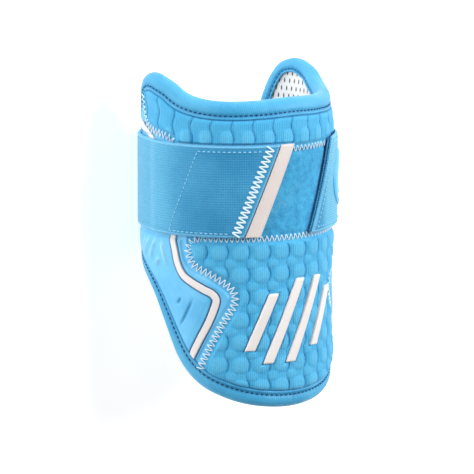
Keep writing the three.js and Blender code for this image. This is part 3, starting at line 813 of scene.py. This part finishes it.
def quilted_top():
    reach = HALF_WRAP * max(around for around, _ in SEAM_ROWS) - 0.5
    share = np.linspace(-1, 1, 340)
    arounds = reach * (0.8 * share + 0.2 * np.sin(share * math.pi / 2))
    high = np.array([crossing(cover_edge, 0, x) for x in arounds])
    upper = sideways(seam_line, -QUILT_GAP)
    upper = upper[upper[:, 1] > LOOP_HIGH]
    upper = upper[np.argsort(upper[:, 0])]
    on_seam = np.interp(np.abs(arounds), upper[:, 0], upper[:, 1], left=LOOP_HIGH)
    low = np.minimum(np.maximum(LOOP_HIGH + 0.2, on_seam), high - 0.3)
    around, along = ruled_grid(*(np.column_stack([arounds, edge]) for edge in (low, high)), 52)
    # 1 between the strap's two ends, where the fabric is free down to the loop panel
    bare = smooth_step(around - slanted(9 - STRAP_LEFT_END, along), 0, 2)
    bare = bare * smooth_step(slanted(STRAP_RIGHT_END - 2, along) - around, 0, 2)
    from_seam = np.minimum(seam_distance(around, along), along - LOOP_HIGH + 9 * (1 - bare))
    relief_and_shading = cells(around, along, TOP_CELL, TOP_SWELLINGS, last_row=0)
    height, relief_and_shading = quilt_height(around, along, relief_and_shading, from_seam)
    under_strap = (1 - smooth_step(along, STRAP_HIGH + 0.1, STRAP_HIGH + 1.4)) * (1 - bare)
    height -= np.maximum(height - QUILT_TOP_UNDER_STRAP, 0) * under_strap
    piece = wall_mesh("quilted_top_fabric", around, along, height, COVER_INNER, {"relief_and_shading": relief_and_shading})
    finish_piece(piece, QUILT, "quilted_fabric", "quilted_top")


def loop_panel():
    alongs = np.linspace(LOOP_LOW - 0.1, LOOP_HIGH + 0.1, 70)
    reach = seam_around(alongs) - SEAM_GAP
    around, along = row_grid(alongs, -reach, reach, 150)
    height = 1.15 + 0.38 * smooth_step(within(along, LOOP_LOW, LOOP_HIGH), 1.5, 4)
    height = np.minimum(height + 0.05 * waves(around, along, 9, 13), 1.6)
    piece = wall_mesh("loop_panel_pile", around, along, height, COVER_INNER)
    finish_piece(piece, LOOP, "loop_pile", "loop_panel")


# Moulded side panels with their accent strips

PANEL_HEIGHT = 2.45
PANEL_UNDER_STRAP = 1.35
PANEL_BORDER = 1.4
# Where a side panel starts and stops rising beside the strap
RISE_START, RISE_END = 1.4, 3.8
ACCENT_WIDTH = 4.2
SIDES = ((1, "right"), (-1, "left"))


def panel_face(along):
    above = smooth_step(along, STRAP_HIGH + RISE_START, STRAP_HIGH + RISE_END)
    below = 1 - smooth_step(along, STRAP_LOW - RISE_END, STRAP_LOW - RISE_START)
    return PANEL_UNDER_STRAP + (PANEL_HEIGHT - PANEL_UNDER_STRAP) * (above + below)


# Ends of the soft ridges and dents in a side panel, as around and along
RIDGES = [
    ((100.7, 0.2), (105.6, -9.7)), ((95.9, 1.0), (104.7, -12.0)), ((88.8, 1.5), (96.6, -13.1)),
    ((86.3, -9.7), (88.8, -15.6)), ((84.5, 0.9), (79.8, -14.3)),
]
DENTS = [((69.2, -32.3), (71.4, -36.9)), ((61.0, -32.6), (69.8, -50.2))]


def streaks(around, along, ends, width):
    """1 along each line between two spots, fading to 0 at its sides and ends."""
    total = 0
    for first, last in ends:
        first, last = np.array(first), np.array(last)
        run = last - first
        share = ((around - first[0]) * run[0] + (along - first[1]) * run[1]) / (run @ run)
        near = np.clip(share, 0, 1)
        gap = np.hypot(around - first[0] - near * run[0], along - first[1] - near * run[1])
        fade = smooth_step(0.5 - np.abs(near - 0.5), -0.05, 0.3)
        total = np.maximum(total, bell(gap, width) * fade)
    return total


def panel_sides(alongs):
    """Where the right side panel starts at its seam and ends under the binding."""
    rear = np.array([crossing(cover_edge, 1, y) for y in alongs])
    return seam_around(alongs) + SEAM_GAP, rear


def on_side(side, around, *grids):
    """The right side's grids, or the left side's with their columns in the opposite order."""
    return [grid[:, ::side] for grid in (around * side, *grids)]


def side_panels():
    tries = np.linspace(-90, 95, 900)
    front, rear = panel_sides(tries)
    tries = tries[(rear - front > 0.5) & (tries < seam_line[0, 1])]
    alongs = np.linspace(tries[0], tries[-1], 250)
    around, along = row_grid(alongs, *panel_sides(alongs), 104)
    from_rim = rim_distance(around, along)
    from_accent = distance_to(accent_line[::2], around, along)
    height = panel_face(along) - 0.25 * smooth_step(ACCENT_WIDTH - from_accent, -3, 0)
    border = 1 - smooth_step(seam_distance(around, along), 3.2, 4.6)
    height -= np.maximum(height - PANEL_BORDER, 0) * border
    # The ridges also carry a painted highlight in the panel's look
    ridges, dents = streaks(around, along, RIDGES, 1.25), streaks(around, along, DENTS, 0.8)
    height += 1.6 * ridges - dents + 0.06 * waves(around, along, 24, 17)
    groove_shade = bell(from_accent - ACCENT_WIDTH / 2 - 0.35, 0.5)
    bed = 1 - smooth_step(from_accent - ACCENT_WIDTH / 2, 0.1, 0.75)
    height -= 0.75 * np.maximum(groove_shade, bed)
    height = EDGE_HEIGHT + (height - EDGE_HEIGHT) * edge_rise(from_rim)
    # Painted shade: the groove round the accent strip, the dents and a shadow line beside the binding
    # are darkened
    beside = 0.7 * bell(from_rim - BINDING_COVER - 0.5, 0.6)
    dark = np.clip(groove_shade + 0.35 * dents + beside, 0, 1)
    for side, name in SIDES:
        *spots, groove_shade, wear_and_highlight = on_side(side, around, along, height, dark, ridges)
        marks = {"groove_shade": groove_shade, "wear_and_highlight": wear_and_highlight}
        piece = wall_mesh(f"moulded_panel_{name}", *spots, COVER_INNER, marks)
        finish_piece(piece, PANEL, "moulded_panel", f"side_panel_{name}")


def accent_strips():
    edge = sideways(rim_line, BINDING_COVER - 0.3, closed=True)
    line = spread(accent_line[[crossing(edge, 1, y) > x for x, y in accent_line]], 320)
    share = np.linspace(-1, 1, 13)
    around, along = side_by_side([sideways(line, -s * ACCENT_WIDTH / 2) for s in share])
    rise = edge_rise(rim_distance(around, along))
    face = EDGE_HEIGHT + (panel_face(along) - EDGE_HEIGHT) * rise
    outer = face - 0.55 + 0.8 * rounded((1 - np.abs(share)) / 0.3)
    inner = np.maximum(face - 0.7, 0.05)
    for side, name in SIDES:
        piece = wall_mesh(f"white_strip_{name}", *on_side(side, around, along, outer, inner))
        finish_piece(piece, WHITE_TRIM, "white_trim", f"accent_strip_{name}")


# Seams: zigzag threads round the side panels and along the loop panel

SEAM_PITCH = 3.1
SEAM_HEIGHT = 1.55
SEAM_CORNER = 8
# Where the side seams' threads start and end, along the guard
SEAM_LOW, SEAM_HIGH = -75, 85


def seam_threads():
    """The lower runs turn a round corner from the loop panel's seam into the side panel's."""
    low = LOOP_LOW - 0.4
    turn = np.linspace(0, math.pi / 2, 40)
    reach = seam_around(low - SEAM_CORNER) - SEAM_CORNER
    corner = np.column_stack([np.sin(turn), np.cos(turn) - 1]) * SEAM_CORNER + [reach, low]
    along = seam_line[:, 1]
    below = np.vstack([corner, seam_line[(along < low - SEAM_CORNER) & (along > SEAM_LOW)]])
    above = seam_line[(along > STRAP_HIGH - 3) & (along < SEAM_HIGH)]
    for i, line in enumerate((below, below * [-1, 1], above, above * [-1, 1])):
        piece = stitches(f"side_seam_{i + 1}", zigzag(line, SEAM_PITCH, 2.5, SEAM_HEIGHT), 0.31, 0.28)
        finish_piece(piece, PALE_THREAD, "quilted_fabric")
    for name, level, limit in (("low", low, reach), ("high", LOOP_HIGH + 0.3, 30)):
        line = np.column_stack([np.linspace(-limit, limit, 200), np.full(200, level)])
        piece = stitches(f"loop_seam_{name}", zigzag(line, SEAM_PITCH, 2.0, 1.3), 0.3, 0.25)
        finish_piece(piece, PALE_THREAD, "loop_pile")


# Strap, round the outside and straight across the open back

WING_TURN = (HALF_WRAP - BINDING_HALF) / PAD_RADIUS
WING_RADIUS = PAD_RADIUS + BINDING_MIDDLE
FRONT_LENGTH = PAD_RADIUS * WING_TURN
BEND_RADIUS = 6.3
TURN_LENGTH = BEND_RADIUS * (math.pi - WING_TURN)
BACK_HALF = WING_RADIUS * math.sin(WING_TURN)
LEAN_FADE = 50
# How far the right end curls off the loop panel
END_LIFT = 1.0


def strap_place(walk, along, height):
    """Walk runs from the left end (negative) or the right end (positive), counted from the
    front's middle round each side to the middle of the back."""
    walk, along, height = np.broadcast_arrays(walk, along, height)
    side, walk = np.sign(walk), np.abs(walk)
    angle = np.minimum(walk, FRONT_LENGTH) / PAD_RADIUS
    turn = WING_TURN + np.clip(walk - FRONT_LENGTH, 0, TURN_LENGTH) / BEND_RADIUS
    slack = np.clip(walk - FRONT_LENGTH - TURN_LENGTH, 0, None)
    on_front = walk <= FRONT_LENGTH
    reach = np.where(on_front, PAD_RADIUS + height, height - BINDING_MIDDLE)
    turn = np.where(on_front, angle, turn)
    x = np.where(on_front, 0, BACK_HALF - slack) + reach * np.sin(turn)
    z = np.where(on_front, 0, WING_RADIUS * math.cos(WING_TURN)) + reach * np.cos(turn)
    return np.stack([side * x, along, AXIS_HEIGHT + z], axis=-1)


def end_lift(around, along):
    """The height that the curl adds to the strap and what is on it."""
    from_end = around - slanted(STRAP_RIGHT_END, along)
    return END_LIFT * (1 - smooth_step(from_end, -1, 13)) * (around > 0)


def strap():
    full = FRONT_LENGTH + TURN_LENGTH + BACK_HALF
    left, right = (np.linspace(end, full, 180) for end in (STRAP_LEFT_END, STRAP_RIGHT_END))
    walk = np.concatenate([-left, right[-2::-1]])
    walk, share = np.broadcast_arrays(walk, np.linspace(1, -1, 53)[:, None])
    along = STRAP_MIDDLE + share * STRAP_WIDTH / 2
    ends = np.where(walk > 0, STRAP_RIGHT_END, STRAP_LEFT_END)
    from_end = np.abs(walk) - ends
    spot = walk + (1 - smooth_step(from_end, 0, LEAN_FADE)) * lean(along)
    off_hooks = smooth_step(from_end - HOOK_LENGTH - STRAP_LEAN * STRAP_WIDTH / 2, 0, 9)
    inner = STRAP_INNER + (STRAP_INNER_ON_HOOKS - STRAP_INNER) * (1 - off_hooks)
    inner = inner + end_lift(spot, along)
    from_edge = (1 - np.abs(share)) * STRAP_WIDTH / 2
    thick = STRAP_THICKNESS * (0.5 + 0.5 * rounded(from_edge))
    thick = thick * (0.55 + 0.45 * rounded(from_end / 1.2))
    thick -= 0.32 * bell(from_edge - 2.1, 0.5)
    front = smooth_step(FRONT_LENGTH - np.abs(walk), 0, 20)
    swell = 0.16 * waves(spot, along * 0.6, 34, 21) * front * smooth_step(from_edge, 0, 8)
    outer = inner + thick + np.clip(swell, -0.2, 0.25)
    # A paler line along both sides at the selvage, and a painted highlight along the cut ends
    selvage_and_end_highlight = bell(from_edge - 0.7, 0.7)
    selvage_and_end_highlight = 0.85 * np.maximum(selvage_and_end_highlight, bell(from_end - 0.3, 0.8))
    # Paler on the left part past the hook tape, partly the bare elastic's own tone and partly painted
    # highlight, and on the right part as painted highlight from the right light
    bare_and_highlight = 0.85 * smooth_step(-spot, 62, 84) + 1.25 * smooth_step(spot, 18, 26)
    marks = {"selvage_and_end_highlight": selvage_and_end_highlight, "bare_and_highlight": bare_and_highlight}
    piece = wall_mesh("elastic_strap", spot, along, outer, inner, marks, at=strap_place)
    finish_piece(piece, ELASTIC, "elastic_webbing", "strap")


def leaning_grid(first, last, low, high, rows, columns):
    """A grid that leans like the strap's ends, with each spot's distances to its sides and
    ends."""
    alongs = np.linspace(low, high, rows)
    around, along = row_grid(alongs, slanted(first, alongs), slanted(last, alongs), columns)
    across = within(around, slanted(first, along), slanted(last, along))
    return around, along, across, within(along, low, high)


def hook_patches():
    """The left patch runs on a little past the strap's end, under the pull tab."""
    under_tab = 6 - STRAP_LEFT_END
    for name, first, last in (
        ("left", under_tab - HOOK_LENGTH, under_tab),
        ("right", STRAP_RIGHT_END - 0.1, STRAP_RIGHT_END + 49),
    ):
        around, along, from_side, from_end = leaning_grid(
            first, last, STRAP_LOW + HOOK_MARGIN, STRAP_HIGH - HOOK_MARGIN, 40, 48,
        )
        edge = rounded(np.minimum(from_side, from_end) / 0.7)
        lift = end_lift(around, along)
        outer = 2.6 + 0.7 * edge + lift
        inner = 2.25 - 0.28 * edge + 0.8 * lift
        piece = wall_mesh(f"hook_tape_{name}", around, along, outer, inner)
        finish_piece(piece, HOOKS, "hook_tape", f"hook_patch_{name}")


def pull_tab():
    first, last = 0.5 - STRAP_LEFT_END, 8.9 - STRAP_LEFT_END
    around, along, _, from_end = leaning_grid(
        first, last, STRAP_LOW + 0.2, STRAP_HIGH - 0.1, 120, 26,
    )
    # Rounded less on its left side, which lies against the zigzag
    from_side = within(around, slanted(first, along) - 0.5, slanted(last, along))
    outer = 4.3 + rounded(np.minimum(from_side, from_end) / 0.9)
    outer -= 0.22 * bell(from_side - 1.5, 0.35) * (from_end > 0.9)
    piece = wall_mesh("white_pull_tab", around, along, outer, STRAP_INNER_ON_HOOKS + 0.02)
    finish_piece(piece, WHITE_LABEL, "white_trim", "pull_tab")


def strap_badge():
    """A plain raised oval with a rolled rim."""
    middle, half_wide, half_tall = 54, 20, 17
    share = np.linspace(0, 1, 46)[:, None] ** 0.8
    share, turn = np.broadcast_arrays(share, np.linspace(0, math.tau, 121))
    around = middle + half_wide * share * np.cos(turn)
    along = STRAP_MIDDLE + half_tall * share * np.sin(turn)
    edge = (half_wide + half_tall) / 2
    reach = share * edge
    rim = bell(reach - edge + 2.2, 1.5)
    line = bell(reach - edge * 0.55, 0.9)
    outer = STRAP_FACE + 0.15 + 0.35 * rounded((edge - reach) / 0.8) + 0.75 * rim + 0.4 * line
    plain = dict.fromkeys(("groove_shade", "wear_and_highlight"), np.zeros(outer.shape))
    piece = wall_mesh("raised_badge", around, along, outer, STRAP_FACE - 0.05, plain)
    join_seam(piece)
    finish_piece(piece, PANEL, "moulded_badge", "strap_badge")


def join_seam(piece):
    """Merges the doubled points where a turned grid closes on itself."""
    work = bmesh.new()
    work.from_mesh(piece.data)
    bmesh.ops.remove_doubles(work, verts=work.verts, dist=1e-6)
    inside = [face for face in work.faces if all(len(edge.link_faces) > 2 for edge in face.edges)]
    bmesh.ops.delete(work, geom=inside, context="FACES")
    work.to_mesh(piece.data)
    work.free()


def front_bars():
    for i, (middle, length) in enumerate(BARS):
        low, high = BAR_MIDDLE - length / 2, BAR_MIDDLE + length / 2
        alongs = np.linspace(low, high, 90)
        centre = middle + BAR_LEAN * (alongs - BAR_MIDDLE)
        from_end = within(alongs, low, high)
        half = BAR_WIDTH / 2 - 0.6 + 0.6 * rounded(from_end / 1.2)
        around, along = row_grid(alongs, centre - half, centre + half, 19)
        from_side = half[:, None] - np.abs(around - centre[:, None])
        outer = 2.9 + 1.15 * rounded(np.minimum(from_side, from_end[:, None]) / 1.1)
        piece = wall_mesh(f"white_bar_{i + 1}", around, along, outer, 2.15, sharp=70)
        finish_piece(piece, WHITE_TRIM, "white_trim", f"front_bar_{i + 1}")


# Where the zigzag is round the guard, and each outline's first and last spot and its two rows
ZIGZAG_SPOT = -26.4
OUTLINE_LOW, OUTLINE_HIGH = STRAP_LOW + 2.7, STRAP_HIGH - 3.6
STRAP_OUTLINES = (
    (-66, -30, (OUTLINE_LOW, OUTLINE_HIGH)),
    (23.2, 80, (STRAP_LOW + 3.4, STRAP_HIGH - 3.4)),
)


def strap_threads():
    """A bold zigzag at the strap's left end, and an outline with one slanting side at both."""

    def slanting(at_middle, low, high):
        alongs = np.linspace(low, high, 60)
        return np.column_stack([slanted(at_middle, alongs), alongs])

    def level(along, first, last):
        return np.column_stack([np.linspace(first, last, 60) + lean(along), np.full(60, along)])

    bold = slanting(ZIGZAG_SPOT, STRAP_LOW + 1.4, STRAP_HIGH - 1.4)
    piece = stitches("bold_zigzag", zigzag(bold, 3.2, 2.6, STRAP_FACE - 0.1), 0.52, 0.35)
    finish_piece(piece, PALE_THREAD, "elastic_webbing")
    runs = []
    for first, last, rows in STRAP_OUTLINES:
        runs.append(slanting(first, OUTLINE_LOW, OUTLINE_HIGH))
        runs += [level(row, first, last) for row in rows]
    for i, line in enumerate(runs):
        threads = dashes(line, 2.7, 1.7, STRAP_FACE - 0.12)
        for spots in threads:
            spots[:, 2] += end_lift(spots[:, 0], spots[:, 1])
        piece = stitches(f"strap_stitches_{i + 1}", threads, 0.32, 0.18)
        finish_piece(piece, BLUE_THREAD, "elastic_webbing")


padded_wall()
lining()
binding()
quilted_front()
quilted_top()
loop_panel()
side_panels()
accent_strips()
seam_threads()
strap()
hook_patches()
pull_tab()
strap_badge()
front_bars()
strap_threads()


# Floor, lights and camera

VIEW_TURN = math.radians(37)
VIEW_RISE = math.asin(0.17)
VIEW_DISTANCE = 3.0
MM_PER_PIXEL = 0.60
IMAGE_SIZE = 474
AXIS_PIXEL = Vector((236.2, 230.0))

towards_camera = Vector((
    -math.sin(VIEW_TURN) * math.cos(VIEW_RISE), math.sin(VIEW_RISE),
    math.cos(VIEW_TURN) * math.cos(VIEW_RISE),
))
image_right = Vector((0, 1, 0)).cross(towards_camera).normalized()
image_up = towards_camera.cross(image_right)
rotation = Matrix((image_right, image_up, towards_camera)).transposed().to_4x4()


def add_camera():
    shift = Vector((IMAGE_SIZE / 2, IMAGE_SIZE / 2)) - AXIS_PIXEL
    target = Vector((0, 0, AXIS_HEIGHT * MM))
    target += (image_right * shift.x - image_up * shift.y) * MM_PER_PIXEL * MM
    data = bpy.data.cameras.new("camera")
    data.sensor_width = 36
    data.lens = data.sensor_width * VIEW_DISTANCE / (IMAGE_SIZE * MM_PER_PIXEL * MM)
    data.clip_start, data.clip_end = 0.1, 20
    camera = add_object("camera", data)
    camera.matrix_world = Matrix.Translation(target + towards_camera * VIEW_DISTANCE) @ rotation
    bpy.context.scene.camera = camera
    return target


def add_light(name, target, right, up, near, size, energy):
    """A round soft light aimed at the target, at metres from it as the picture shows them."""
    data = bpy.data.lights.new(name, "AREA")
    data.shape = "DISK"
    data.size, data.energy = size, energy
    light = add_object(name, data)
    position = target + image_right * right + image_up * up + towards_camera * near
    turned = (target - position).to_track_quat("-Z", "Y").to_matrix().to_4x4()
    light.matrix_world = Matrix.Translation(position) @ turned


def add_floor():
    half = 6 / MM
    corners = [(-half, -half, 0), (half, -half, 0), (half, half, 0), (-half, half, 0)]
    floor = new_piece("floor", corners, [(0, 1, 2, 3)])
    look = Look(
        "pale_floor", 0.9, Base_Color=(0.74, 0.74, 0.74, 1),
        Emission_Color=(1, 1, 1, 1), Emission_Strength=0.66,
    )
    floor.data.materials.append(look.material)


target = add_camera()
add_floor()
add_light("left_softbox", target, -1.75, 0.45, 1.6, 1.0, 35)
add_light("right_softbox", target, 1.5, 0.5, 0.6, 1.1, 31)
add_light("upper_fill", target, -0.2, 1.6, 0.9, 0.9, 10)
world = bpy.data.worlds.new("studio")
world.use_nodes = True
background = world.node_tree.nodes["Background"].inputs
background[0].default_value = (1, 1, 1, 1)
background[1].default_value = 0.26
bpy.context.scene.world = world
bpy.context.scene.view_settings.view_transform = "Standard"
